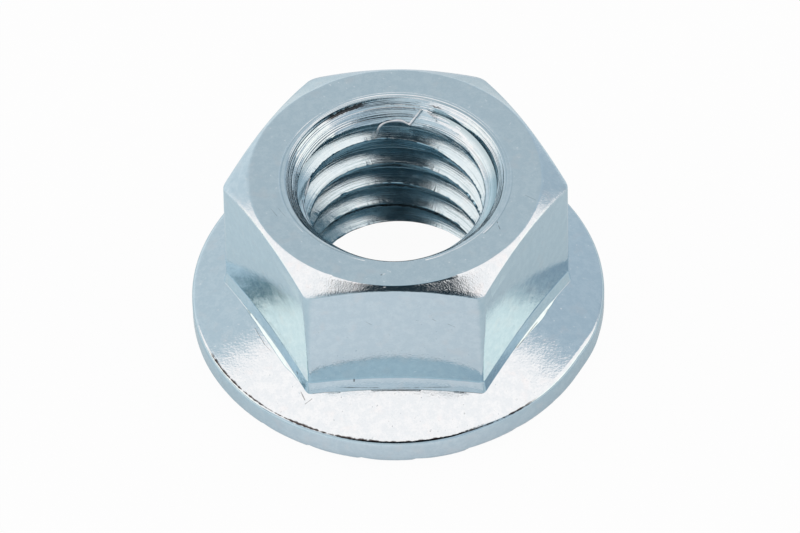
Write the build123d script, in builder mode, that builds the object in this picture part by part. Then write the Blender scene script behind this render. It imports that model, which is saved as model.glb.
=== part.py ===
"""Serrated hexagon flange nut, M10 x 1.5, cold formed in one piece.

The origin is the middle of the bearing face, on the plane of the serration
crests. +Z is the nut's axis, from the flange to the hexagon. Two corners of
the hexagon lie on the X axis. The thread itself is a surface detail: the bore
is at the diameter of the thread crests. Lengths are in millimetres and angles
in degrees.
"""
from build123d import *

import math
import os

# ---- hexagon ----
across_flats = 15.0  # spanner size
nut_height = 9.75  # bearing face to top face
corner_rounding = 0.45  # radius of the six upright edges
top_chamfer_inset = 0.21  # from a hexagon face in to the chamfer's circle
top_chamfer_slope = 30.0  # chamfer against the top face
die_line_height = 0.6  # flared band round the foot of the hexagon
die_line_width = 0.1

# ---- bore ----
crest_diameter = 8.65  # at the crests of the internal thread
mouth_diameter = 10.8  # both countersinks where they open
countersink_angle = 90.0
mouth_rounding = 0.12  # upper mouth's edge, against the top face

# ---- flange ----
flange_diameter = 20.9
rim_height = 1.5  # where the sloping face would meet the rim
flange_slope = 20.0  # sloping face against the bearing face
rim_upper_rounding = 0.3
rim_lower_rounding = 0.5

# ---- serrations ----
serration_count = 24
serration_depth = 0.38  # at the rim, and less towards the axis
serration_land = 2.4  # flat crest of each serration, round the axis
serration_bite = 62.0  # steep flank against the bearing face
serration_start = 4.25  # first steep flank, round the axis from +X
recess_diameter = 12.6  # shallow round recess inside the serrations
recess_depth = 0.65

# ---- worked out ----
flat_radius = across_flats / 2
crest_radius = crest_diameter / 2
mouth_radius = mouth_diameter / 2
flange_radius = flange_diameter / 2
cone_top = rim_height + (flange_radius - crest_radius) * math.tan(math.radians(flange_slope))
chamfer_circle = flat_radius - top_chamfer_inset
chamfer_reach = across_flats  # well outside the hexagon's corners
chamfer_fall = (chamfer_reach - chamfer_circle) * math.tan(math.radians(top_chamfer_slope))

# One gap between serrations: a wedge that runs out from a point on the axis.
gap_reach = flange_radius * 1.1  # ends outside the rim
gap_depth = serration_depth * gap_reach / flange_radius
gap_angle = 360 / serration_count - serration_land
gap_width = gap_reach * math.tan(math.radians(gap_angle))
bite_width = gap_depth / math.tan(math.radians(serration_bite))
below = gap_depth / 2  # the wedge's open side lies under the crests
bite_spread = below * bite_width / gap_depth
ramp_spread = below * (gap_width - bite_width) / gap_depth

with BuildPart() as serration_gap:
    with BuildSketch(Plane.YZ.offset(gap_reach)) as gap_profile:
        with BuildLine():
            Polyline(
                (bite_width, gap_depth),
                (-bite_spread, -below),
                (gap_width + ramp_spread, -below),
                close=True,
            )
        make_face()
    loft([Vertex(0, 0, 0), gap_profile.sketch.face()], ruled=True)

with BuildPart() as flange_nut:
    # Flange: a turned profile, its sloping face running on inside the hexagon.
    with BuildSketch(Plane.YZ) as flange_profile:
        with BuildLine():
            Polyline(
                (0, 0),
                (flange_radius, 0),
                (flange_radius, rim_height),
                (crest_radius, cone_top),
                (0, cone_top),
                close=True,
            )
        make_face()
        lower_corner, upper_corner = flange_profile.vertices().group_by(Axis.X)[-1].sort_by(Axis.Y)
        fillet(lower_corner, rim_lower_rounding)
        upper_corner = flange_profile.vertices().sort_by_distance((flange_radius, rim_height))[0]
        fillet(upper_corner, rim_upper_rounding)
    revolve(axis=Axis.Z)

    # Hexagon, its upright edges rounded.
    with BuildSketch(Plane.XY) as hexagon_profile:
        RegularPolygon(flat_radius, 6, major_radius=False)
        fillet(hexagon_profile.vertices(), corner_rounding)
    extrude(amount=nut_height)

    # The forging die's flared mouth leaves a narrow band where they meet.
    sloping_face = flange_nut.faces().filter_by(GeomType.CONE).sort_by(Axis.Z)[-1]
    foot_edges = sloping_face.edges().filter_by(
        lambda edge: edge.geom_type in (GeomType.HYPERBOLA, GeomType.BSPLINE)
    )
    chamfer(foot_edges, die_line_width, die_line_height, reference=sloping_face)

    # Turned chamfer on the six top corners.
    with BuildSketch(Plane.YZ):
        with BuildLine():
            Polyline(
                (chamfer_circle, nut_height),
                (chamfer_reach, nut_height),
                (chamfer_reach, nut_height - chamfer_fall),
                close=True,
            )
        make_face()
    revolve(axis=Axis.Z, mode=Mode.SUBTRACT)

    # Serrations in the bearing face, round a shallow recess.
    with PolarLocations(0, serration_count, start_angle=serration_start):
        add(serration_gap.part, mode=Mode.SUBTRACT)
    with BuildSketch(Plane.XY):
        Circle(recess_diameter / 2)
    extrude(amount=recess_depth, mode=Mode.SUBTRACT)

    # Bore, countersunk at both ends.
    with Locations(Plane.XY.offset(nut_height)):
        CounterSinkHole(crest_radius, mouth_radius, counter_sink_angle=countersink_angle)
    with Locations(Plane(origin=(0, 0, recess_depth), z_dir=(0, 0, -1))):
        CounterSinkHole(crest_radius, mouth_radius, counter_sink_angle=countersink_angle)
    mouth_edges = flange_nut.edges().filter_by(GeomType.CIRCLE).filter_by(
        lambda edge: math.isclose(edge.radius, mouth_radius)
    )
    fillet(mouth_edges.sort_by(Axis.Z)[-1], mouth_rounding)

flange_nut.part.label = "flange_nut"
os.makedirs("parts", exist_ok=True)
export_step(flange_nut.part, "parts/flange_nut.step")
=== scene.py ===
"""Looks of the serrated M10 flange nut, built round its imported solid.

One mesh stands for the whole nut. Its columns go round the axis, and each
column is one closed section through the nut: mouth, top face, hexagon,
flange, rim, serrated underside, and the threaded bore back up to the mouth.
Sizes are in millimetres, unless they are given times MM, and the mesh is in
metres.
"""

import math

import bpy
import numpy as np
from mathutils import Matrix, Vector


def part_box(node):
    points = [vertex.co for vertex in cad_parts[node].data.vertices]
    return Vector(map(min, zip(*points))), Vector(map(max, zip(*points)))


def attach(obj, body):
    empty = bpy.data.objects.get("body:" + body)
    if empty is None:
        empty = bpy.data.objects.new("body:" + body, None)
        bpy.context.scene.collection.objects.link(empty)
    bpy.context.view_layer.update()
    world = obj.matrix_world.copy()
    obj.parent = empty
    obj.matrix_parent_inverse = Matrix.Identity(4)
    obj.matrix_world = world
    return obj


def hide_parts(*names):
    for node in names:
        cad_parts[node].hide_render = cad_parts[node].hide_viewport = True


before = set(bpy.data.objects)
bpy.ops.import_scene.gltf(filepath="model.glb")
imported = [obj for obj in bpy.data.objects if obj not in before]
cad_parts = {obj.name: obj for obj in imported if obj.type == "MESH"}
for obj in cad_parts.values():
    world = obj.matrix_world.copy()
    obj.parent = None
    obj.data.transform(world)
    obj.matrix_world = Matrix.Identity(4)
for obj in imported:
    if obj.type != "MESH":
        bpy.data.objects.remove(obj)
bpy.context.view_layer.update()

MM = 0.001
NODE = "flange_nut"

# ---- sizes of the solid ----
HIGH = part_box(NODE)[1]
HEIGHT = HIGH.z / MM
FLANGE_RADIUS = HIGH.x / MM
FLAT_RADIUS = 7.5
CHAMFER_CIRCLE = 7.29
CHAMFER_SLOPE = math.tan(math.radians(30.0))
DIE_LINE_HEIGHT = 0.6
DIE_LINE_FLARE = 0.13
CONE_ANGLE = 20.0
CONE_SLOPE = math.tan(math.radians(CONE_ANGLE))
RIM_HEIGHT = 1.5
RIM_UPPER_ROUNDING = 0.3
RIM_LOWER_ROUNDING = 0.5
SERRATIONS = 24
SERRATION_START = 4.25
SERRATION_LAND = 2.4
SERRATION_DEPTH = 0.38
BITE_SLOPE = math.tan(math.radians(62.0))
RECESS_RADIUS = 6.3
RECESS_DEPTH = 0.65
LOWER_MOUTH_RADIUS = 5.4
RECESS_LINES = (RECESS_RADIUS - 0.03, 5.9, LOWER_MOUTH_RADIUS + 0.03)  # radii of lines on its roof

# ---- edges of the hexagon ----
CORNER_ROUNDING_FOOT = 0.2
CORNER_ROUNDING_TOP = 0.6
ROUNDING_STARTS = 3.5  # height from which the upright edges grow rounder
ROUNDING_ENDS = HEIGHT - 0.6  # and up to which
CHAMFER_WAVES = 0.015  # the chamfer's circle wanders by this
CHAMFER_WIDER = {90: 0.0, 235: 0.0, 255: 0.07, 285: 0.08, 305: 0.0}  # in towards the axis, by angle
TOP_FACE_MARGIN = 0.02  # the top face's lines end this far inside the chamfer's circle
TOP_EDGE_DROP = 0.006
EDGE_BREAK = 0.05  # between the chamfer and the hexagon's faces
EDGE_BREAK_MIDDLE = (0.012, 0.008)  # in from the outline, and down

# ---- what the forging left, at angles round the axis from +X ----
FOOT_FACET = {  # width of a facet outside the hexagon's foot
    0: 0.012, 100: 0.012, 196: 0.012, 203: 0.06, 213: 0.12, 226: 0.15, 233: 0.02, 270: 0.012,
    321: 0.012, 328: 0.08, 338: 0.15, 345: 0.07, 349: 0.012,
}
FOOT_FACET_SLOPE = math.tan(math.radians(38.0))
FOOT_CREASE = {  # depth of a crease outside the facet
    0: 0.0, 190: 0.0, 199: 0.015, 232: 0.02, 236: 0.0, 245: 0.0, 250: 0.015, 290: 0.015, 295: 0.0,
    318: 0.0, 325: 0.02, 346: 0.015, 352: 0.0,
}
CREASE_BOTTOM = 0.02  # out from the facet
CREASE_WIDTH = 0.05
FACET_SINKS = 0.3  # share of the crease's depth by which the facet leans into it
RIM_PULLED_IN = {  # how far the rim lies inside its circle
    0: 0.0, 90: 0.0, 125: 0.0, 150: 0.12, 180: 0.06, 205: 0.0, 270: 0.0, 285: 0.02, 296: 0.13,
    316: 0.14, 332: 0.15, 345: 0.03,
}
NICKS_AND_CREASE_SHADE = (  # start, end, half width and darkness of small dark marks, and of painted shade in the crease at the hexagon's foot
    ((-7.05, -3.0, 2.57), (-6.95, -3.15, 2.58), 0.03, 0.7),
    ((-4.93, -6.55, 2.62), (-4.88, -6.66, 2.52), 0.035, 0.8),
    ((-2.07, -7.5, 3.09), (-2.07, -7.52, 2.96), 0.04, 0.7),
    ((-4.26, -7.5, 5.26), (-4.26, -7.5, 4.96), 0.02, 0.5),
    ((-4.73, -7.47, 2.08), (-4.53, -7.91, 1.98), 0.025, 0.6),
    ((-4.18, -7.9, 2.05), (-4.52, -8.12, 1.92), 0.02, 0.5),
    ((1.85, -7.5, 7.57), (2.04, -7.5, 7.42), 0.015, 0.4),
    ((2.63, -7.5, 7.19), (2.97, -7.5, 6.97), 0.012, 0.35),
    ((-1.11, -7.5, 7.14), (-1.4, -7.5, 7.36), 0.015, 0.35),
    # these five lines along the hexagon's foot are painted shade in its crease
    ((-2.8, -7.6, 2.57), (2.75, -7.6, 2.57), 0.018, 0.75),
    ((6.02, -4.93, 2.47), (6.93, -3.43, 2.5), 0.014, 0.7),
    ((6.93, -3.43, 2.5), (7.59, -2.29, 2.41), 0.012, 0.6),
    ((-7.1, -3.51, 2.42), (-6.58, -4.61, 2.38), 0.014, 0.6),
    ((-6.58, -4.61, 2.38), (-4.53, -7.31, 2.43), 0.01, 0.5),
    ((5.0, -2.85, 9.75), (5.07, -3.1, 9.75), 0.03, 0.5),
    ((5.13, -3.3, 9.75), (5.2, -3.52, 9.75), 0.02, 0.45),
    ((6.44, -1.25, 9.75), (6.98, -1.59, 9.75), 0.012, 0.3),
    ((-6.12, -2.13, 9.75), (-5.82, -2.6, 9.75), 0.012, 0.35),
    ((-5.78, -2.07, 9.75), (-5.42, -2.61, 9.75), 0.01, 0.3),
    ((-0.63, -6.54, 9.75), (-0.6, -6.5, 9.75), 0.03, 0.4),
)
NICK_RAGGED, NICK_EDGE = 2.0, (2.4, 1.6)  # in half widths

# ---- dark line along the rim's upper edge ----
# What fades in a material or a light is written as a smooth step: where it begins and ends, and then,
# unless they are 0 and 1, what it gives there.
RIM_LINE_HEIGHT = 1.545
RIM_LINE_RADIUS = (10.1, 10.12)
RIM_LINE_ENDS = ((-1.17, -1.07), (0.78, 0.66))  # in radians from the front
RIM_LINE_TORN = (0.3, 0.75, -0.012, 0.022)
RIM_LINE_WIDTH = (0.3, 0.6, 0.01, 0.028)
RIM_LINE_EDGE = (0.01, -0.015)
RIM_LINE_DARK = 0.97

# ---- upper mouth, at angles round the axis from +X ----
MOUTH_EDGE = {0: 5.45, 90: 5.45, 180: 5.46, 225: 5.52, 270: 5.66, 315: 5.52}
MOUTH_EDGE_ROUNDING = 0.1
FACET_WIDTH = {
    0: 0.22, 30: 0.33, 48: 0.38, 66: 0.26, 80: 0.08, 100: 0.05, 120: 0.06, 150: 0.1,
    172: 0.3, 195: 0.34, 225: 0.25, 270: 0.25, 330: 0.2,
}
FACET_SLOPE = {  # in degrees
    0: 48, 30: 40, 48: 42, 58: 36, 66: 32, 82: 52, 105: 75, 128: 75, 150: 58, 180: 54, 225: 50, 300: 48,
}
COUNTERSINK_SLOPE = 1.0  # 45 degrees
BELL_RADIUS = 4.44  # the bore opens a little from its first full crest up to the countersink
BELL_HEIGHT = 7.2  # where it has that radius
BELL_SLOPE = 0.22
BELL_REACH = 0.4  # how far it goes on opening
BELL_BLEND = 0.05  # rounds the corner where it meets the countersink
BELL_WIDER = {0: -0.08, 45: -0.14, 70: -0.06, 100: 0.0, 130: -0.01, 180: 0.0, 270: 0.0}  # and narrower
MOUTH_PAINTED_SHADE = (  # painted shade along the mouth's edge: start and end round the axis in radians, inner and outer radius
    ((1.8, 1.92), (2.32, 2.2), (5.36, 5.39), (5.5, 5.47)),
    ((1.08, 1.2), (1.28, 1.16), (5.27, 5.3), (5.37, 5.34)),
)
MOUTH_SHADE_RAGGED = 0.12
MOUTH_SHADE_HEIGHT = (9.3, 9.4, 0.0, 0.93)

# ---- thread: M10 x 1.5, right hand, leaning a little to one side ----
PITCH = 1.5
CREST_RADIUS = 4.34
ROOT_RADIUS = 5.1
THREAD_DEPTH = ROOT_RADIUS - CREST_RADIUS
FLANK_RISE = THREAD_DEPTH * math.tan(math.radians(30.0))
CREST_WIDTH = 0.22
CREST_BEVEL = 0.035
CREST_LIP = (0.012, 0.01, 0.004)  # a crest's lower and upper edge: out from the axis, and up or down
ROOT_ROUNDING = 0.012
CREST_LINES = 7  # of each turn's lines in the mesh
THREAD_START = -2.02  # height of the first crest's lower edge at angle 0, well below the recess
THREAD_TURNS = 8  # those below the recess and above the mouth are cut off
THREAD_LEAN = 0.11  # lower by this at +X, and higher at -X
TORN_WAVES = 0.01  # how far crests' edges are torn out of line, in waves
TORN_GRAIN = 0.005  # and from column to column
LOWER_EDGE_SEED, UPPER_EDGE_SEED = 40, 60
EDGE_MARKS = (  # crest, angle, half width in degrees, and how far its upper edge moves out
    (6, 164, 3, -0.07), (6, 170, 4, -0.12), (6, 177, 3, -0.06), (6, 158, 2, 0.06),
    (5, 34, 1.5, 0.1), (5, 30, 1.2, -0.05), (5, 26.5, 1.6, 0.12), (5, 23, 1.2, 0.05), (4, 128, 2, 0.05),
)
NOTCH = {  # depth of a piece torn out of the wall's lower edge
    0: 0.0, 81: 0.0, 84: 0.09, 88: 0.13, 96: 0.12, 99: 0.07, 102: 0.0,
}
NOTCH_SHARES = (0.6, 1.0, 1.0, 1.0, 0.4)  # of it, on the two lines before the last crest and its first three
BURR = (  # angle, radius and height of points along a curl of burr at the first groove, and a raised line
    ((102.9, 4.36, 8.35), (102.3, 4.42, 8.58), (100.0, 4.50, 8.78), (96.6, 4.56, 8.88), (92.7, 4.58, 8.92),
     (87.6, 4.59, 8.95), (84.2, 4.54, 8.88), (81.0, 4.48, 8.79)),
    ((81.4, 4.48, 8.80), (79.6, 4.60, 8.98), (78.0, 4.74, 9.15), (76.5, 4.90, 9.31), (75.3, 5.03, 9.44)),
    ((163, 4.50, 8.22), (167, 4.47, 8.36), (171.5, 4.46, 8.40), (176.6, 4.47, 8.45), (182.0, 4.50, 8.62)),
)
BURR_HALF_THICKNESS = 0.065
BURR_SEED, BURR_UNEVEN = 11, (0.6, 1.3)

# ---- plating: colours, and shares of them on some finishes ----
ZINC_DARK, ZINC_LIGHT, ZINC_WARM = (0.568, 0.69, 0.757), (0.622, 0.738, 0.797), (0.645, 0.715, 0.755)
# dark colour of tool marks, and of painted shade at the thread's roots
TOOL_MARKS_AND_SHADE = (0.26, 0.37, 0.42)
# dark colour of stains and nicks, and of painted shade at the mouth's edge and in the crease at the
# hexagon's foot
STAIN_AND_SHADE = (0.035, 0.03, 0.03, 1)
CUT_SHARE = (0.9, 0.97, 0.98)
# the crests' share makes a darker copy of the thread's plating, as painted shade
CREST_SHADE_SHARE = (0.44, 0.64, 0.72)
BURR_SHARE = (1.35, 1.2, 1.15)
MOTTLE_SCALE, MOTTLE = 2.5, (0.35, 0.7)  # the scale is lumps for each millimetre
FINE_MOTTLE_SCALE, FINE_MOTTLE = 8.0, (0.3, 0.7, -0.3, 0.3)
WARM_SCALE, WARM_PATCHES = 1.3, (0.55, 0.75, 0.0, 0.5)
ROUGH_EDGE, ROUGH_SHARE = (0.3, 0.75), (0.85, 1.2)

# ---- finishes, in the order of the nut's materials ----
FORMED, SCUFFED, TURNED, CUT, CREST_SHADED = range(5)
SPECKS = (0.72, 0.76, 0.0, -0.006)
RIM_RINGS = (10.2, 10.4, 0.0, 0.03)  # depth of fine lines, from the sloping face out to the rim
RING_DEPTH, RING_DIRT = 0.05, (0.46, 0.3, 0.0, 0.4)
STREAK_DEPTH, STREAK_DIRT = 0.012, (0.47, 0.32, 0.0, 0.5)
# painted shade, darker towards the thread's roots
ROOT_PAINTED_SHADE = (4.75, 5.0, 0.0, 0.6)
SHARP_ANGLE = 28.0
BORE_WALL = 5.0  # about the radius of the bore's wall, where marks have their stated length
DOWN_COUNTERSINK = 0.7  # share of radius plus height that is a way down a 45 degree wall

# ---- where the finishes lie ----
CHAMFER_ZONE = (CHAMFER_CIRCLE - 0.03, HEIGHT - 0.8)  # least radius and height
MOUTH_ZONE = (5.7, 8.0)  # greatest radius and least height
WALL_ZONE = (8.2, 0.06)  # least height and greatest distance from the wall

# ---- room and lights, by direction from the nut: x right, y away from the camera, z up ----
ROOM_LOW, ROOM_HIGH, ROOM_RIGHT = (0.81, 0.84, 0.86, 1), (0.62, 0.66, 0.69, 1), (0.67, 0.745, 0.82, 1)
ROOM_FADE = (0.0, 0.5)
ROOM_SLANT = -0.3  # change of brightness from the middle to the right
ROOM_GROUND, GROUND_EDGE = (0.86, 0.9, 0.93, 1), (0.16, 0.08)
SIDE = (0.82, 0.88)  # how far right the room's side begins, and the same to the left
SIDE_DARK = (0.0, 0.12, 0.16, 1)  # beyond both ends of the light, from each side's foot upwards
LEFT_DARK_FOOT, RIGHT_DARK_FOOT = (0.23, 0.24), (0.15, 0.25, 0.0, 0.04)
GLARE, GLARE_AT_SIDES = (1.5, 1.27, 1.19, 1), (1.55, 1.42, 1.27, 1)
GLARE_FRONT, GLARE_BACK, GLARE_FOOT = (-0.37, -0.31), (0.52, 0.44), (0.29, 0.298)
GLARE_LOWERED = 0.02  # the light reaches this much lower at the far right
GLARE_CORNER, GLARE_CORNER_HEIGHT, GLARE_CORNER_SLANT = (0.36, 0.44), (0.45, 0.6), (-0.15, -0.13)
STAND = (0.02, 0.035, 0.045, 1)
STAND_CENTRE, STAND_REACH = (0.05, -0.37), (0.40, 0.30)
STAND_EDGE, STAND_FOOT = (1.06, 0.9), (0.3, 0.5)

# ---- floor, by distance from the nut's axis ----
FLOOR_REACH = 6.0  # metres
FLOOR_MATT, WHITE = (0.68, 0.70, 0.73, 1), (1, 1, 1, 1)
FLOOR_GLOW = 0.96  # share of the floor's white that no shadow dims
FLOOR_GLOW_REFLECTED = 0.5  # the same in the metal's reflections, fading towards the nut as a painted shadow, and not under the nut
# under the bore the floor glows in the metal's reflections, a painted pool of light, and the stand's painted
# shadow darkens its middle
UNDER_BORE = (6 * MM, 5 * MM)
BESIDE_NUT = (5 * MM, 13 * MM, 0.0, FLOOR_GLOW_REFLECTED)
STAND_SHADOW = (0.6 * MM, 2.4 * MM, 0.0, 0.6)  # how far it clears, away from the middle
# painted reflections: tints of the floor that only the metal sees, bluer to the sides, brighter far off, and
# darker from left to right
FLOOR_NEAR, FLOOR_SIDEWAYS, FLOOR_FAR = (1.0, 1.05, 1.09, 1), (0.69, 0.85, 0.90, 1), (1.3, 1.28, 1.22, 1)
SIDEWAYS_EDGE, FAR_EDGE = (4 * MM, 11 * MM), (15 * MM, 30 * MM)
FLOOR_LEFT_TO_RIGHT = (-16 * MM, 16 * MM, 1.08, 0.88)

# ---- camera, fitted to the photograph ----
CAMERA_PLACE = (5.808, -233.906, 263.384)
CAMERA_RIGHT = Vector((0.999865, 0.008596, -0.014020))
CAMERA_UP = Vector((0.002977, 0.743829, 0.668363))
CAMERA_LENS = 312.73
CAMERA_SENSOR = 36.0
CAMERA_CLIPS = (0.01, 100.0)  # metres


def column_angles():
    """Angles of the columns: close at the hexagon's corners and the serrations' steps."""
    apart = 360 / SERRATIONS
    gap = apart - SERRATION_LAND
    valley = math.degrees(math.atan(SERRATION_DEPTH / FLANGE_RADIUS / BITE_SLOPE))
    near_edges = (-0.12, 0.0, 0.12, valley - 0.12, valley, valley + 0.15, gap - 0.15, gap, gap + 0.15)
    near_corner = (0.0, 0.5, 1.0, 1.5, 2.1, 3.0, 4.2)
    closest, spacing = 0.2, 1.25
    wanted = {(SERRATION_START + apart * k + d) % 360 for k in range(SERRATIONS) for d in near_edges}
    for corner in range(0, 360, 60):
        for d in near_corner:
            for angle in ((corner + d) % 360, (corner - d) % 360):
                if min(abs((angle - w + 180) % 360 - 180) for w in wanted) > closest:
                    wanted.add(angle)
    filled = []
    ordered = sorted(wanted)
    for here, there in zip(ordered, ordered[1:] + [ordered[0] + 360]):
        parts = math.ceil((there - here) / spacing)
        filled += [here + (there - here) * i / parts for i in range(parts)]
    return np.array(sorted(a % 360 for a in filled))


THETA = column_angles()
COLUMNS = len(THETA)


def around(values):
    """Values given at a few angles, carried smoothly round to every column."""
    angles = np.array(sorted(values))
    given = np.array([values[a] for a in angles] + [values[angles[0]]], float)
    angles = np.append(angles, angles[0] + 360)
    turned = (THETA - angles[0]) % 360 + angles[0]
    place = np.searchsorted(angles, turned, side="right") - 1
    share = (turned - angles[place]) / (angles[place + 1] - angles[place])
    share = share * share * (3 - 2 * share)
    return given[place] * (1 - share) + given[place + 1] * share


def around_waves(seed, count, highest):
    """A smooth random periodic function, mostly within -1 to 1, in every column."""
    draw = np.random.default_rng(seed)
    orders = draw.integers(1, highest + 1, count)
    phases = draw.uniform(0, 2 * math.pi, count)
    sizes = 1 / np.sqrt(orders)
    peak = 1.6  # against the root of the mean square
    sizes /= np.sqrt((sizes ** 2).sum() / 2) * peak
    return (sizes * np.sin(orders * np.radians(THETA)[:, None] + phases)).sum(-1)


def halved(holds, end, rounds):
    """Bounds, in every column, of the value from 0 to end up to which a condition holds."""
    low, high = np.zeros(COLUMNS), np.full(COLUMNS, end)
    for _ in range(rounds):
        middle = (low + high) / 2
        met = holds(middle)
        low, high = np.where(met, middle, low), np.where(met, high, middle)
    return low, high


def ring(radius, height):
    """One line of the section, with its radius and height in every column."""
    return radius * np.ones(COLUMNS), height * np.ones(COLUMNS)


def mouth_facet():
    """The upper mouth's outer facet: its inner end, its edge, its slope and its edge's setback."""
    edge, width, slope = around(MOUTH_EDGE), around(FACET_WIDTH), np.radians(around(FACET_SLOPE))
    inner_radius = edge - width
    inner_height = HEIGHT - width * np.tan(slope)
    setback = np.minimum(MOUTH_EDGE_ROUNDING * np.tan(slope / 2), width * 0.5)
    return inner_radius, inner_height, edge, slope, setback


def corner_rounding(height):
    """Radius of the hexagon's upright edges, sharper towards the foot."""
    share = np.clip((height - ROUNDING_STARTS) / (ROUNDING_ENDS - ROUNDING_STARTS), 0, 1)
    return CORNER_ROUNDING_FOOT + (CORNER_ROUNDING_TOP - CORNER_ROUNDING_FOOT) * share


def hexagon_radius(flat, rounding):
    """Distance from the axis to a hexagon's rounded outline, in every column."""
    from_flat = np.radians((THETA % 60) - 30)
    straight = flat / np.cos(from_flat)
    arc_centre = (flat - rounding) / math.cos(math.radians(30))  # distance of the rounding's centre
    from_corner = math.radians(30) - np.abs(from_flat)
    side = arc_centre * np.sin(from_corner)
    arc = arc_centre * np.cos(from_corner) + np.sqrt(np.maximum(rounding ** 2 - side ** 2, 0))
    return np.where(side < rounding / 2, arc, straight)


def cone_height(radius):
    """Height of the flange's sloping face at a distance from the axis."""
    return RIM_HEIGHT + (FLANGE_RADIUS - radius) * CONE_SLOPE


def gap_height(radius):
    """Height of the serrated underside at a distance from the axis, in every column."""
    apart = 360 / SERRATIONS
    into_gap = np.radians((THETA - SERRATION_START) % apart)
    along, across = radius * np.cos(into_gap), radius * np.sin(into_gap)
    depth = SERRATION_DEPTH / FLANGE_RADIUS  # for each millimetre from the axis
    bite_width = depth / BITE_SLOPE
    gap_width = math.tan(math.radians(apart - SERRATION_LAND))
    bite = across * BITE_SLOPE
    ramp = (gap_width * along - across) * depth / (gap_width - bite_width)
    return np.maximum(np.minimum(bite, ramp), 0)


def top_rings():
    """The upper mouth's facet, its rounded edge, and the top face."""
    inner_radius, _, edge, slope, setback = mouth_facet()
    facet_end = edge - setback * np.cos(slope)
    rings = []
    for share in (0.05, 0.35, 0.7, 1.0):
        radius = inner_radius + (facet_end - inner_radius) * share
        rings.append(ring(radius, HEIGHT - (edge - radius) * np.tan(slope)))
    arc = setback / np.tan(slope / 2)
    for share in (0.7, 0.4, 0.15, 0.0):
        inward, down = arc * np.sin(slope * share), arc * (1 - np.cos(slope * share))
        rings.append(ring(edge + setback - inward, HEIGHT - down))
    start, end = edge + setback, CHAMFER_CIRCLE - TOP_FACE_MARGIN
    for share in (0.02, 0.08, 0.2, 0.4, 0.6, 0.8, 0.94, 0.985):
        rings.append(ring(start + (end - start) * share, HEIGHT))
    return rings


def hexagon_rings():
    """The turned chamfer on the corners and the hexagon's faces, and the height where they end."""
    outline = hexagon_radius(FLAT_RADIUS, corner_rounding(ROUNDING_ENDS))
    wandering = CHAMFER_WAVES * around_waves(seed=3, count=14, highest=34)
    circle = CHAMFER_CIRCLE + wandering - around(CHAMFER_WIDER)
    reach = outline - circle
    rings = [ring(circle, HEIGHT - TOP_EDGE_DROP)]
    for share in (0.12, 0.3, 0.5, 0.7):
        rings.append(ring(circle + reach * share, HEIGHT - reach * share * CHAMFER_SLOPE))
    edge = HEIGHT - reach * CHAMFER_SLOPE
    inward, down = EDGE_BREAK_MIDDLE
    rings.append(ring(outline - EDGE_BREAK, edge + EDGE_BREAK * CHAMFER_SLOPE))
    rings.append(ring(outline - inward, edge - down))
    rings.append(ring(outline, edge - EDGE_BREAK))
    band_top = cone_height(outline) + DIE_LINE_HEIGHT
    face = edge - EDGE_BREAK - band_top
    for share in (0.97, 0.85, 0.65, 0.45, 0.3, 0.17, 0.08, 0.02):
        height = band_top + face * share
        rings.append(ring(hexagon_radius(FLAT_RADIUS, corner_rounding(height)), height))
    return rings, band_top


def foot_rings(band_top):
    """The flared band, a narrow facet where the die closed and a crease, and the radius where they end."""
    rounding = corner_rounding(band_top)
    outline = hexagon_radius(FLAT_RADIUS, rounding)
    foot = hexagon_radius(FLAT_RADIUS + DIE_LINE_FLARE, rounding + DIE_LINE_FLARE)
    facet, crease = around(FOOT_FACET), around(FOOT_CREASE)
    foot_height = cone_height(foot) + facet * (FOOT_FACET_SLOPE - CONE_SLOPE)
    rings = []
    for share in (0.0, 0.04, 0.5, 0.9):
        rings.append(ring(outline + (foot - outline) * share, band_top + (foot_height - band_top) * share))
    for share in (0.06, 0.5, 1.0):
        down = facet * share * FOOT_FACET_SLOPE + crease * share * FACET_SINKS
        rings.append(ring(foot + facet * share, foot_height - down))
    bottom, end = foot + facet + CREASE_BOTTOM, foot + facet + CREASE_WIDTH
    rings.append(ring(bottom, cone_height(bottom) - crease))
    rings.append(ring(end, cone_height(end)))
    return rings, end


def flange_rings(start):
    """The flange's sloping face from a radius outwards, the rim's upper rounding, and the rim."""
    flange = FLANGE_RADIUS - around(RIM_PULLED_IN)
    slope = math.radians(CONE_ANGLE)
    end = flange - RIM_UPPER_ROUNDING * (1 - math.sin(slope))
    rings = []
    for share in (0.03, 0.1, 0.2, 0.3, 0.4, 0.5, 0.6, 0.7, 0.8, 0.9, 0.97):
        radius = start + (end - start) * share
        rings.append(ring(radius, cone_height(radius)))
    centre = flange - RIM_UPPER_ROUNDING
    centre_height = cone_height(centre) - RIM_UPPER_ROUNDING / math.cos(slope)
    for angle in (70.0, 56.0, 42.0, 28.0, 14.0, 0.0):
        outward = RIM_UPPER_ROUNDING * math.cos(math.radians(angle))
        up = RIM_UPPER_ROUNDING * math.sin(math.radians(angle))
        rings.append(ring(centre + outward, centre_height + up))
    for share in (0.25, 0.5, 0.75, 1.0):
        rings.append(ring(flange, centre_height + (RIM_LOWER_ROUNDING - centre_height) * share))
    return rings


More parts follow.
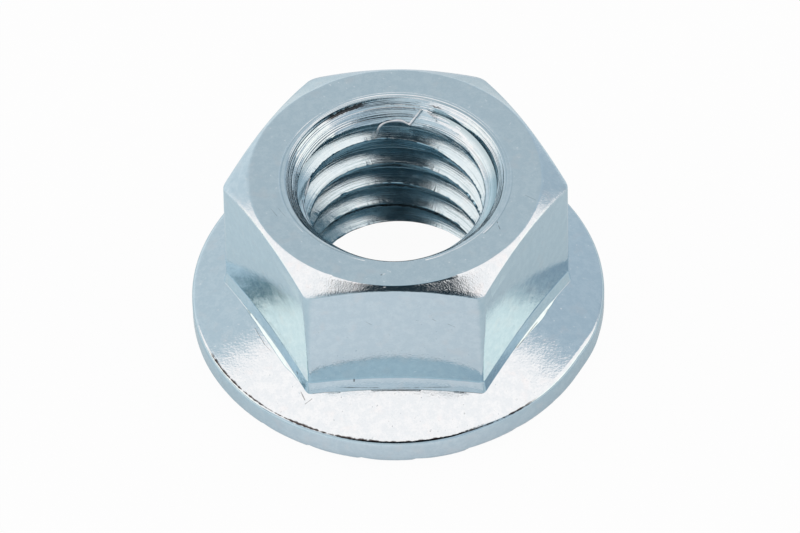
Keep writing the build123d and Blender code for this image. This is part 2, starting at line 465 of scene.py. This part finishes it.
def underside_rings():
    """The rim's lower rounding, the serrations and the recess inside them, in to the lower mouth."""
    inner = FLANGE_RADIUS - around(RIM_PULLED_IN) - RIM_LOWER_ROUNDING

    def rounding(turn):
        return inner + RIM_LOWER_ROUNDING * np.cos(turn), RIM_LOWER_ROUNDING * (1 - np.sin(turn))

    def above_serrations(turn):
        radius, height = rounding(turn)
        return height > gap_height(radius)

    end = halved(above_serrations, math.pi / 2, rounds=40)[0]
    rings = [ring(*rounding(end * share)) for share in (0.2, 0.4, 0.6, 0.8, 1.0)]
    meeting = rounding(end)[0]
    for share in (0.04, 0.3, 0.6, 0.9, 0.985):
        radius = meeting + (RECESS_RADIUS - meeting) * share
        rings.append(ring(radius, gap_height(radius)))
    edge = gap_height(np.full(COLUMNS, RECESS_RADIUS))
    for share in (0.03, 0.5, 0.95):
        rings.append(ring(RECESS_RADIUS, edge + (RECESS_DEPTH - edge) * share))
    for radius in RECESS_LINES:
        rings.append(ring(radius, RECESS_DEPTH))
    return rings


def outer_rings():
    """The section from the upper mouth out over the nut and back in to the lower mouth."""
    hexagon, band_top = hexagon_rings()
    foot, foot_end = foot_rings(band_top)
    return top_rings() + hexagon + foot + flange_rings(foot_end) + underside_rings()


def wall_radius(height):
    """Radius of the countersinks and of the bell between them, in every column."""
    inner_radius, inner_height = mouth_facet()[:2]
    cone = inner_radius - (inner_height - height) * COUNTERSINK_SLOPE
    bell = BELL_RADIUS + around(BELL_WIDER) + np.minimum(height - BELL_HEIGHT, BELL_REACH) * BELL_SLOPE
    upper = (cone + bell + np.sqrt((cone - bell) ** 2 + BELL_BLEND ** 2)) / 2
    lower = LOWER_MOUTH_RADIUS - (height - RECESS_DEPTH)
    return np.maximum(np.maximum(upper, lower), CREST_RADIUS)


def crossing(tip_height, direction):
    """How far out along a crest's flank the wall cuts it, from 0 at the tip to 1 at the root."""
    def inside(out):
        return CREST_RADIUS + out * THREAD_DEPTH < wall_radius(tip_height + direction * out * FLANK_RISE)

    return halved(inside, 1.0, rounds=30)[1]


def edge_marks(crest):
    """How far burrs and nicks move a crest's upper edge out from the axis, in every column."""
    faded = 1.4  # half widths to where a mark ends
    moved = np.zeros(COLUMNS)
    for which, angle, width, out in EDGE_MARKS:
        if which == crest:
            away = np.abs((THETA - angle + 180) % 360 - 180)
            moved += out * np.clip(faded - away / width, 0, 1)
    return moved


def torn_edge(seed):
    """How far a crest's edge is torn out of line, in every column."""
    jitter = np.random.default_rng(seed).normal(0, TORN_GRAIN, COLUMNS)
    return TORN_WAVES * around_waves(seed, count=16, highest=120) + jitter


def crest_rings(crest, lower_tip, upper_tip, upper_cut):
    """One crest of the thread, from its lower to its upper edge."""
    start = lower_tip - crossing(lower_tip, -1) * FLANK_RISE
    end = upper_tip + upper_cut * FLANK_RISE
    lower_out, upper_out, lip = CREST_LIP
    marks = edge_marks(crest)
    torn_low = torn_edge(LOWER_EDGE_SEED + crest)
    torn_high = torn_edge(UPPER_EDGE_SEED + crest) + marks
    rings = [(wall_radius(start) + lower_out + torn_low, start - lip + torn_low)]
    for share, marked in ((0.0, 0.0), (0.25, 0.0), (0.5, 0.0), (0.75, 0.0), (1.0, 0.8)):
        height = start + CREST_BEVEL + (end - start - 2 * CREST_BEVEL) * share
        rings.append((wall_radius(height) + marks * marked, height))
    rings.append((wall_radius(end) + upper_out + torn_high, end + lip))
    return rings


def groove_rings(upper_tip, upper_cut, next_tip):
    """The groove above a crest: out along its flank, across the root, and in to the next crest."""
    flank = (0.07, 0.35, 0.65, 0.92)
    rings = []
    for share in flank:
        out = upper_cut + (1 - upper_cut) * share
        rings.append((CREST_RADIUS + THREAD_DEPTH * out, upper_tip + out * FLANK_RISE))
    root_start, root_end = upper_tip + FLANK_RISE, next_tip - FLANK_RISE
    for share, inward in ((0.12, ROOT_ROUNDING), (0.5, 0.0), (0.88, ROOT_ROUNDING)):
        rings.append(ring(ROOT_RADIUS - inward, root_start + (root_end - root_start) * share))
    next_cut = crossing(next_tip, -1)
    for share in reversed(flank):
        out = next_cut + (1 - next_cut) * share
        rings.append((CREST_RADIUS + THREAD_DEPTH * out, next_tip - out * FLANK_RISE))
    return rings


def within_wall(radius, height):
    """A line of the bore, kept between the recess and the mouth's facet, and no nearer than the wall."""
    roof = mouth_facet()[1]
    kept = np.clip(height, RECESS_DEPTH, roof)
    wall = wall_radius(kept)
    outside = (height < RECESS_DEPTH) | (height > roof)
    return np.where(outside, wall, np.maximum(radius, wall)), kept


def bore_rings():
    """The threaded bore, from the lower mouth up to the upper one's facet, as lines that climb."""
    climb = PITCH * THETA / 360 - THREAD_LEAN * np.cos(np.radians(THETA))
    rings = []
    for crest in range(THREAD_TURNS):
        lower_tip = THREAD_START + PITCH * crest + climb
        upper_tip = lower_tip + CREST_WIDTH
        upper_cut = crossing(upper_tip, 1)  # a flank is cut off where the wall is wider
        rings += crest_rings(crest, lower_tip, upper_tip, upper_cut)
        rings += groove_rings(upper_tip, upper_cut, lower_tip + PITCH)
    per_turn = len(rings) // THREAD_TURNS
    rings = [within_wall(radius, height) for radius, height in rings]
    # a piece is torn out of the last crest's lower edge, which ends the countersink's wall
    notch = around(NOTCH)
    first_torn = (THREAD_TURNS - 1) * per_turn - 2
    for line, share in enumerate(NOTCH_SHARES, first_torn):
        radius, height = rings[line]
        rings[line] = (radius + notch * share, height + notch * share)
    return rings, per_turn


def finish_of(line, first_line, per_turn, radius, height):
    """The finish that starts at a line of the section, in every column."""
    if line < first_line:
        on_chamfer = (radius > CHAMFER_ZONE[0]) & (height > CHAMFER_ZONE[1])
        on_facet = (radius < MOUTH_ZONE[0]) & (height > MOUTH_ZONE[1])
        return np.where(on_chamfer, SCUFFED, np.where(on_facet, TURNED, FORMED))
    on_wall = (height > WALL_ZONE[0]) & (np.abs(radius - wall_radius(height)) < WALL_ZONE[1])
    on_crest = (line - first_line) % per_turn < CREST_LINES - 1
    return np.where(on_wall, TURNED, CREST_SHADED if on_crest else CUT)


def numbered_points(rings):
    """Each line's point in every column, as numbers, and the points; lines that touch share one."""
    cos, sin = np.cos(np.radians(THETA)), np.sin(np.radians(THETA))
    touching = 1e-6
    index = np.zeros((len(rings), COLUMNS), int)
    points = []
    for i in range(COLUMNS):
        last = None
        for m, (radius, height) in enumerate(rings):
            if last and max(abs(radius[i] - last[0]), abs(height[i] - last[1])) < touching:
                index[m, i] = index[m - 1, i]
                continue
            index[m, i] = len(points)
            points.append((radius[i] * cos[i], radius[i] * sin[i], height[i]))
            last = (radius[i], height[i])
    return index, points


def joined_columns(index, first_line, per_turn, finishes):
    """Faces between neighbouring columns, and their finishes; the bore's lines climb at the seam."""
    faces, face_finishes = [], []
    for i in range(COLUMNS):
        j = (i + 1) % COLUMNS
        lines = np.arange(len(index))
        if j == 0:
            lines[first_line:] = np.minimum(lines[first_line:] + per_turn, len(index) - 1)
        here, there = index[:, i], index[lines, j]
        for m in range(len(index)):
            n = (m + 1) % len(index)
            corners = [here[m], here[n], there[n], there[m]]
            loop = [c for k, c in enumerate(corners) if c != corners[k - 1]]
            if len(set(loop)) > 2:
                faces.append(loop)
                face_finishes.append(int(finishes[m][i]))
    return faces, face_finishes


def nut_mesh():
    """The closed mesh of the nut, with its finishes."""
    outer = outer_rings()
    bore, per_turn = bore_rings()
    rings = outer + bore
    first_line = len(outer)
    finishes = [finish_of(m, first_line, per_turn, *rings[m]) for m in range(len(rings))]
    index, points = numbered_points(rings)
    faces, face_finishes = joined_columns(index, first_line, per_turn, finishes)
    mesh = bpy.data.meshes.new("flange_nut_looks")
    mesh.from_pydata([tuple(c * MM for c in p) for p in points], [], faces)
    mesh.polygons.foreach_set("material_index", face_finishes)
    for polygon in mesh.polygons:
        polygon.use_smooth = True
    mesh.update()
    return mesh


def added(name, data):
    """A new object in the scene."""
    made = bpy.data.objects.new(name, data)
    bpy.context.scene.collection.objects.link(made)
    return made


def empty_tree(owner):
    """The node tree of a new material or world, with nothing in it."""
    owner.use_nodes = True
    owner.node_tree.nodes.clear()
    return owner.node_tree


def node(tree, kind, links=(), **settings):
    """A shader node with its settings; links name an input and give its value or its source."""
    made = tree.nodes.new(kind)
    for name, value in settings.items():
        setattr(made, name, value)
    for name, value in dict(links).items():
        if isinstance(value, bpy.types.NodeSocket):
            tree.links.new(value, made.inputs[name])
        else:
            made.inputs[name].default_value = value
    return made


def maths(tree, operation, first, second=0.0, third=0.0):
    """The result of one arithmetic node."""
    return node(tree, "ShaderNodeMath", {0: first, 1: second, 2: third}, operation=operation).outputs[0]


def product(tree, first, *others):
    """Values multiplied with each other."""
    for other in others:
        first = maths(tree, "MULTIPLY", first, other)
    return first


def total(tree, first, *others):
    """Values added to each other."""
    for other in others:
        first = maths(tree, "ADD", first, other)
    return first


def largest(tree, first, *others):
    """The largest of several values."""
    for other in others:
        first = maths(tree, "MAXIMUM", first, other)
    return first


def scaled(tree, vector, factor):
    """A vector or colour times a number."""
    return node(tree, "ShaderNodeVectorMath", {0: vector, 3: factor}, operation="SCALE").outputs[0]


def step(tree, value, low, high, out_low=0.0, out_high=1.0):
    """A smooth step of a value from low to high."""
    links = {"Value": value, "From Min": low, "From Max": high, "To Min": out_low, "To Max": out_high}
    return node(tree, "ShaderNodeMapRange", links, interpolation_type="SMOOTHSTEP").outputs[0]


def blend_colours(tree, share, first, second):
    """A mix of two colours; 0, 6 and 7 are the node's sockets for the share and the colours."""
    return node(tree, "ShaderNodeMix", {0: share, 6: first, 7: second}, data_type="RGBA").outputs[2]


def room_colour(tree, x, z):
    """A grey room: bluer at the right, even near the ground, and dark at both sides beyond the light."""
    room = blend_colours(tree, step(tree, z, *ROOM_FADE), ROOM_LOW, ROOM_HIGH)
    room = blend_colours(tree, step(tree, x, *ROOM_FADE), room, ROOM_RIGHT)
    room = scaled(tree, room, maths(tree, "MULTIPLY_ADD", x, ROOM_SLANT, third=1.0))
    room = blend_colours(tree, step(tree, z, *GROUND_EDGE), room, ROOM_GROUND)
    left = product(tree, step(tree, x, -SIDE[0], -SIDE[1]), step(tree, z, *LEFT_DARK_FOOT))
    right = product(tree, step(tree, x, *SIDE), step(tree, z, *RIGHT_DARK_FOOT))
    return blend_colours(tree, total(tree, left, right), room, SIDE_DARK)


def light_share(tree, x, y, z):
    """Where the soft light is: it spans the nut from left to right, and its back corners are cut off."""
    aside = maths(tree, "ABSOLUTE", x)
    slanted = step(tree, maths(tree, "SUBTRACT", y, aside), *GLARE_CORNER_SLANT)
    corner = product(tree, step(tree, aside, *GLARE_CORNER), step(tree, z, *GLARE_CORNER_HEIGHT), slanted)
    back = product(tree, step(tree, y, *GLARE_BACK), maths(tree, "SUBTRACT", 1.0, corner))
    lowered = maths(tree, "MULTIPLY_ADD", step(tree, x, *SIDE), GLARE_LOWERED, third=z)
    return product(tree, step(tree, y, *GLARE_FRONT), back, step(tree, lowered, *GLARE_FOOT))


def stand_share(tree, x, y, z):
    """Where the dark camera stand is, in front of the light: an ellipse that fades out at its foot."""
    squares = []
    for value, centre, reach in zip((x, y), STAND_CENTRE, STAND_REACH):
        away = maths(tree, "DIVIDE", maths(tree, "SUBTRACT", value, centre), reach)
        squares.append(maths(tree, "MULTIPLY", away, away))
    distance = maths(tree, "SQRT", total(tree, *squares))
    return product(tree, step(tree, distance, *STAND_EDGE), step(tree, z, *STAND_FOOT))


def studio():
    """The surroundings: a grey room, a broad soft light over the nut and a dark camera stand."""
    world = bpy.data.worlds.new("studio")
    bpy.context.scene.world = world
    tree = empty_tree(world)
    direction = node(tree, "ShaderNodeTexCoord").outputs["Generated"]
    x, y, z = node(tree, "ShaderNodeSeparateXYZ", {0: direction}).outputs
    at_sides = step(tree, maths(tree, "ABSOLUTE", x), *SIDE)
    glare = blend_colours(tree, at_sides, GLARE, GLARE_AT_SIDES)
    seen = blend_colours(tree, light_share(tree, x, y, z), room_colour(tree, x, z), glare)
    seen = blend_colours(tree, stand_share(tree, x, y, z), seen, STAND)
    background = node(tree, "ShaderNodeBackground", {"Color": seen, "Strength": 1.0})
    node(tree, "ShaderNodeOutputWorld", {"Surface": background.outputs[0]})


def white_floor():
    """A white that keeps a faint shadow, and what the metal reflects of it: tinted and dimmer, with painted
    light and shadow.
    """
    material = bpy.data.materials.new("white_floor")
    tree = empty_tree(material)
    path = node(tree, "ShaderNodeLightPath").outputs
    here = node(tree, "ShaderNodeNewGeometry").outputs["Position"]
    x = node(tree, "ShaderNodeSeparateXYZ", {0: here}).outputs["X"]
    aside = maths(tree, "ABSOLUTE", x)
    far = node(tree, "ShaderNodeVectorMath", {0: here}, operation="LENGTH").outputs["Value"]
    # how much of the white glows by itself, seen straight and in a reflection
    straight = maths(tree, "MAXIMUM", path["Is Camera Ray"], path["Is Transmission Ray"])
    straight = maths(tree, "MULTIPLY", straight, FLOOR_GLOW)
    under_bore = step(tree, far, *UNDER_BORE)
    beside_nut = step(tree, far, *BESIDE_NUT)
    reflected = product(tree, path["Is Glossy Ray"], maths(tree, "MAXIMUM", beside_nut, under_bore))
    glowing = maths(tree, "MAXIMUM", straight, reflected)
    # under the bore the reflected floor is darkest in line with the camera's stand: a painted shadow
    cleared = step(tree, aside, *STAND_SHADOW)
    dimmed = product(tree, path["Is Glossy Ray"], under_bore, maths(tree, "SUBTRACT", 1.0, cleared))
    strength = maths(tree, "SUBTRACT", 1.0, dimmed)
    # the floor's painted reflection: its tint in the metal, while the camera sees it white
    painted_reflection_tint = blend_colours(tree, step(tree, aside, *SIDEWAYS_EDGE), FLOOR_NEAR, FLOOR_SIDEWAYS)
    painted_reflection_tint = blend_colours(tree, step(tree, aside, *FAR_EDGE), painted_reflection_tint, FLOOR_FAR)
    painted_reflection_tint = scaled(tree, painted_reflection_tint, step(tree, x, *FLOOR_LEFT_TO_RIGHT))
    painted_reflection_tint = blend_colours(tree, path["Is Glossy Ray"], WHITE, painted_reflection_tint)
    glow = node(tree, "ShaderNodeEmission", {"Color": painted_reflection_tint, "Strength": strength}).outputs[0]
    matt = node(tree, "ShaderNodeBsdfDiffuse", {"Color": FLOOR_MATT}).outputs[0]
    mix = node(tree, "ShaderNodeMixShader", {0: glowing, 1: matt, 2: glow}).outputs[0]
    node(tree, "ShaderNodeOutputMaterial", {"Surface": mix})
    return material


def floor():
    """A plain white floor."""
    corners = [(x * FLOOR_REACH, y * FLOOR_REACH, 0) for x, y in ((-1, -1), (1, -1), (1, 1), (-1, 1))]
    mesh = bpy.data.meshes.new("studio_floor")
    mesh.from_pydata(corners, [], [(0, 1, 2, 3)])
    mesh.materials.append(white_floor())
    added("studio_floor", mesh)


def noise(tree, point, scale, detail=2.0, w=None):
    """Noise with lumps about 1 / scale across, in the point's units; w adds a fourth direction."""
    links = {"Vector": point, "Scale": scale, "Detail": detail}
    if w is None:
        return node(tree, "ShaderNodeTexNoise", links).outputs[0]
    return node(tree, "ShaderNodeTexNoise", {**links, "W": w}, noise_dimensions="4D").outputs[0]


def lumps(tree, place, scale, depth, detail=2.0):
    """Relief with lumps about 1 / scale millimetres across."""
    return maths(tree, "MULTIPLY", noise(tree, place.point, scale, detail), depth)


def vector(tree, x, y, z):
    """A vector from three values."""
    return node(tree, "ShaderNodeCombineXYZ", {0: x, 1: y, 2: z}).outputs[0]


class Place:
    """Where a point of the nut is, in millimetres, along its axes and round its axis."""

    def __init__(self, tree):
        here = node(tree, "ShaderNodeTexCoord").outputs["Object"]
        self.point = scaled(tree, here, 1 / MM)
        self.x, self.y, self.z = node(tree, "ShaderNodeSeparateXYZ", {0: self.point}).outputs
        squares = [maths(tree, "MULTIPLY", c, c) for c in (self.x, self.y)]
        self.radius = maths(tree, "SQRT", total(tree, *squares))
        self.angle = maths(tree, "ARCTAN2", self.y, self.x)
        self.cos = maths(tree, "COSINE", self.angle)
        self.sin = maths(tree, "SINE", self.angle)


def turned_rings(tree, place, spacing, length):
    """Level rings, as a tool leaves them: noise drawn out round the axis to a length on the wall."""
    down = product(tree, total(tree, place.radius, place.z), DOWN_COUNTERSINK / spacing)
    round_x = maths(tree, "MULTIPLY", place.cos, BORE_WALL / length)
    round_y = maths(tree, "MULTIPLY", place.sin, BORE_WALL / length)
    return noise(tree, vector(tree, down, round_x, round_y), scale=1.0, detail=1.5)


def helical_streaks(tree, place, length, fineness):
    """Streaks along the thread: noise drawn out along the helix, the same when it comes round."""
    for_each_mm = 2 * math.pi / PITCH
    turn = maths(tree, "MULTIPLY_ADD", place.cos, THREAD_LEAN * for_each_mm,
                 third=maths(tree, "MULTIPLY", place.z, for_each_mm))
    turn = maths(tree, "SUBTRACT", turn, place.angle)
    across_x = maths(tree, "MULTIPLY", maths(tree, "COSINE", turn), fineness)
    across_y = maths(tree, "MULTIPLY", maths(tree, "SINE", turn), fineness)
    along_x = maths(tree, "MULTIPLY", place.cos, BORE_WALL / length)
    along_y = maths(tree, "MULTIPLY_ADD", place.sin, BORE_WALL / length, third=place.z)
    return noise(tree, vector(tree, across_x, across_y, along_x), scale=1.0, detail=3.0, w=along_y)


def shared(colour, share):
    """A share of a colour's red, green and blue, as an opaque colour."""
    return tuple(c * k for c, k in zip(colour, share)) + (1,)


def zinc(name, roughness, relief, share=(1.0, 1.0, 1.0), stain_and_shade=None):
    """Zinc plating. relief gives its fine relief in millimetres and its tool marks and painted shade, stain
    its dark marks and painted shade.
    """
    material = bpy.data.materials.new(name)
    tree = empty_tree(material)
    place = Place(tree)
    height, marks_and_shade = relief(tree, place)
    bump = node(tree, "ShaderNodeBump", {"Height": height, "Distance": MM, "Strength": 1.0}).outputs[0]
    mottle = noise(tree, place.point, MOTTLE_SCALE, detail=4.0)
    fine = step(tree, noise(tree, place.point, FINE_MOTTLE_SCALE), *FINE_MOTTLE)
    lighter = total(tree, step(tree, mottle, *MOTTLE), fine)
    warmer = step(tree, noise(tree, place.point, WARM_SCALE), *WARM_PATCHES)
    colour = blend_colours(tree, lighter, shared(ZINC_DARK, share), shared(ZINC_LIGHT, share))
    colour = blend_colours(tree, warmer, colour, shared(ZINC_WARM, share))
    # tool marks and stains, some of them painted shade
    if marks_and_shade:
        colour = blend_colours(tree, marks_and_shade, colour, shared(TOOL_MARKS_AND_SHADE, share))
    if stain_and_shade:
        colour = blend_colours(tree, stain_and_shade(tree, place), colour, STAIN_AND_SHADE)
    rough = step(tree, mottle, *ROUGH_EDGE, *[roughness * k for k in ROUGH_SHARE])
    surface = node(tree, "ShaderNodeBsdfPrincipled", {
        "Base Color": colour, "Metallic": 1.0, "Roughness": rough, "Normal": bump})
    node(tree, "ShaderNodeOutputMaterial", {"Surface": surface.outputs[0]})
    return material


def mouth_painted_shade(tree, place):
    """Painted shade as dark marks along the mouth's edge, at the back."""
    torn = noise(tree, place.point, scale=5.0, detail=3.0)
    ragged = maths(tree, "MULTIPLY_ADD", torn, MOUTH_SHADE_RAGGED, third=place.radius)
    marks = []
    for start, end, inner, outer in MOUTH_PAINTED_SHADE:
        round_axis = product(tree, step(tree, place.angle, *start), step(tree, place.angle, *end))
        across = product(tree, step(tree, ragged, *inner), step(tree, ragged, *outer))
        marks.append(product(tree, round_axis, across))
    return product(tree, largest(tree, *marks), step(tree, place.z, *MOUTH_SHADE_HEIGHT))


def rim_line(tree, place, torn):
    """The broken dark line along the rim's upper edge."""
    away = maths(tree, "ABSOLUTE", maths(tree, "SUBTRACT", place.z, RIM_LINE_HEIGHT))
    away = total(tree, away, step(tree, torn, *RIM_LINE_TORN))
    width = step(tree, noise(tree, place.point, scale=0.8, detail=3.0), *RIM_LINE_WIDTH)
    line = step(tree, maths(tree, "SUBTRACT", away, width), *RIM_LINE_EDGE)
    from_front = maths(tree, "ARCTAN2", place.x, maths(tree, "MULTIPLY", place.y, -1.0))
    between_ends = product(tree, *[step(tree, from_front, *end) for end in RIM_LINE_ENDS])
    on_rim = step(tree, place.radius, *RIM_LINE_RADIUS)
    return product(tree, line, between_ends, on_rim, RIM_LINE_DARK)


def nick(tree, place, torn, start, end, width, dark):
    """A short dark line between two points of the surface, with ragged edges."""
    first, last = Vector(start), Vector(end)
    run = last - first
    offset = node(tree, "ShaderNodeVectorMath", {0: place.point, 1: first}, operation="SUBTRACT").outputs[0]
    along = node(tree, "ShaderNodeVectorMath", {0: offset, 1: run / run.length_squared},
                 operation="DOT_PRODUCT").outputs["Value"]
    along = node(tree, "ShaderNodeClamp", {0: along}).outputs[0]
    nearest = scaled(tree, run, along)
    away = node(tree, "ShaderNodeVectorMath", {0: offset, 1: nearest}, operation="DISTANCE").outputs["Value"]
    away = maths(tree, "MULTIPLY_ADD", torn, width * NICK_RAGGED, third=away)
    outside, inside = NICK_EDGE
    return step(tree, away, width * outside, width * inside, 0.0, dark)


def formed_stain_and_shade(tree, place):
    """The rim's dark line, small dark nicks, and painted shade in the crease at the hexagon's foot."""
    torn = noise(tree, place.point, scale=4.0, detail=3.0)
    nicks_and_crease_shade = [nick(tree, place, torn, *mark) for mark in NICKS_AND_CREASE_SHADE]
    return largest(tree, rim_line(tree, place, torn), *nicks_and_crease_shade)


def formed_relief(tree, place):
    """Cold-formed faces: fine grain on very soft waves, with a few specks, and lines round the rim."""
    grain = lumps(tree, place, scale=9.0, depth=0.0028, detail=3.0)
    soft = lumps(tree, place, scale=0.9, depth=0.006)
    specks = step(tree, noise(tree, place.point, scale=5.0), *SPECKS)
    on_rim = step(tree, place.radius, *RIM_RINGS)
    lines = product(tree, turned_rings(tree, place, spacing=0.12, length=3.0), on_rim)
    return total(tree, grain, soft, specks, lines), None


def scuffed_relief(tree, place):
    """The turned chamfer: rough where the hexagon's faces were trimmed."""
    grain = lumps(tree, place, scale=14.0, depth=0.008, detail=3.0)
    return total(tree, grain, formed_relief(tree, place)[0]), None


def turned_relief(tree, place):
    """The countersink's tool marks, darker where they are deep."""
    rings = turned_rings(tree, place, spacing=0.08, length=9.0)
    height = maths(tree, "MULTIPLY", rings, RING_DEPTH)
    grain = lumps(tree, place, scale=9.0, depth=0.004, detail=3.0)
    return total(tree, height, grain), step(tree, rings, *RING_DIRT)


def cut_relief(tree, place):
    """The thread's flanks: streaks along it, darker where they are deep, and painted shade at the roots."""
    streaks = helical_streaks(tree, place, length=6.0, fineness=8.0)
    height = maths(tree, "MULTIPLY", streaks, STREAK_DEPTH)
    grain = lumps(tree, place, scale=14.0, depth=0.004, detail=3.0)
    marks_and_root_shade = largest(tree, step(tree, streaks, *STREAK_DIRT), step(tree, place.radius, *ROOT_PAINTED_SHADE))
    return total(tree, height, grain), marks_and_root_shade


def nut():
    """The nut's whole surface, in place of the solid."""
    mesh = nut_mesh()
    made = added("flange_nut_looks", mesh)
    finishes = (
        zinc("zinc_formed", roughness=0.075, relief=formed_relief, stain_and_shade=formed_stain_and_shade),
        zinc("zinc_scuffed", roughness=0.12, relief=scuffed_relief),
        # with painted shade along the mouth's edge
        zinc("zinc_turned", roughness=0.13, relief=turned_relief, stain_and_shade=mouth_painted_shade),
        zinc("zinc_cut", roughness=0.16, relief=cut_relief, share=CUT_SHARE),
        # the crests: a darker copy of the thread's plating, as painted shade
        zinc("zinc_crest_shaded", roughness=0.18, relief=cut_relief, share=CREST_SHADE_SHARE),
    )
    for finish in finishes:
        mesh.materials.append(finish)
    mesh.set_sharp_from_angle(angle=math.radians(SHARP_ANGLE))
    made.modifiers.new("flat_faces", "WEIGHTED_NORMAL").keep_sharp = True
    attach(made, "root")
    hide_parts(NODE)


def burr():
    """A curl of metal that the tap left at the top of the thread."""
    curve = bpy.data.curves.new("thread_burr", "CURVE")
    curve.dimensions = "3D"
    curve.bevel_depth = BURR_HALF_THICKNESS * MM
    curve.bevel_resolution = 2
    curve.resolution_u = 4
    curve.use_fill_caps = True
    draw = np.random.default_rng(BURR_SEED)
    for points in BURR:
        spline = curve.splines.new("NURBS")
        spline.points.add(len(points) - 1)
        for point, (angle, radius, height) in zip(spline.points, points):
            turn = math.radians(angle)
            place = (radius * math.cos(turn), radius * math.sin(turn), height)
            point.co = [c * MM for c in place] + [1]
            point.radius = draw.uniform(*BURR_UNEVEN)
        spline.order_u = 3
        spline.use_endpoint_u = True
    curve.materials.append(zinc("zinc_burr", roughness=0.5, relief=cut_relief, share=BURR_SHARE))
    made = added("thread_burr", curve)
    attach(made, "root")


def camera():
    """A camera at the photograph's viewing angle."""
    data = bpy.data.cameras.new("camera")
    data.sensor_width = CAMERA_SENSOR
    data.lens = CAMERA_LENS
    data.clip_start, data.clip_end = CAMERA_CLIPS
    made = added("camera", data)
    back = CAMERA_RIGHT.cross(CAMERA_UP)
    turn = Matrix((CAMERA_RIGHT, CAMERA_UP, back)).transposed()
    made.matrix_world = Matrix.Translation(Vector(CAMERA_PLACE) * MM) @ turn.to_4x4()
    bpy.context.scene.camera = made


nut()
burr()
floor()
studio()
camera()
bpy.context.scene.view_settings.view_transform = "Standard"
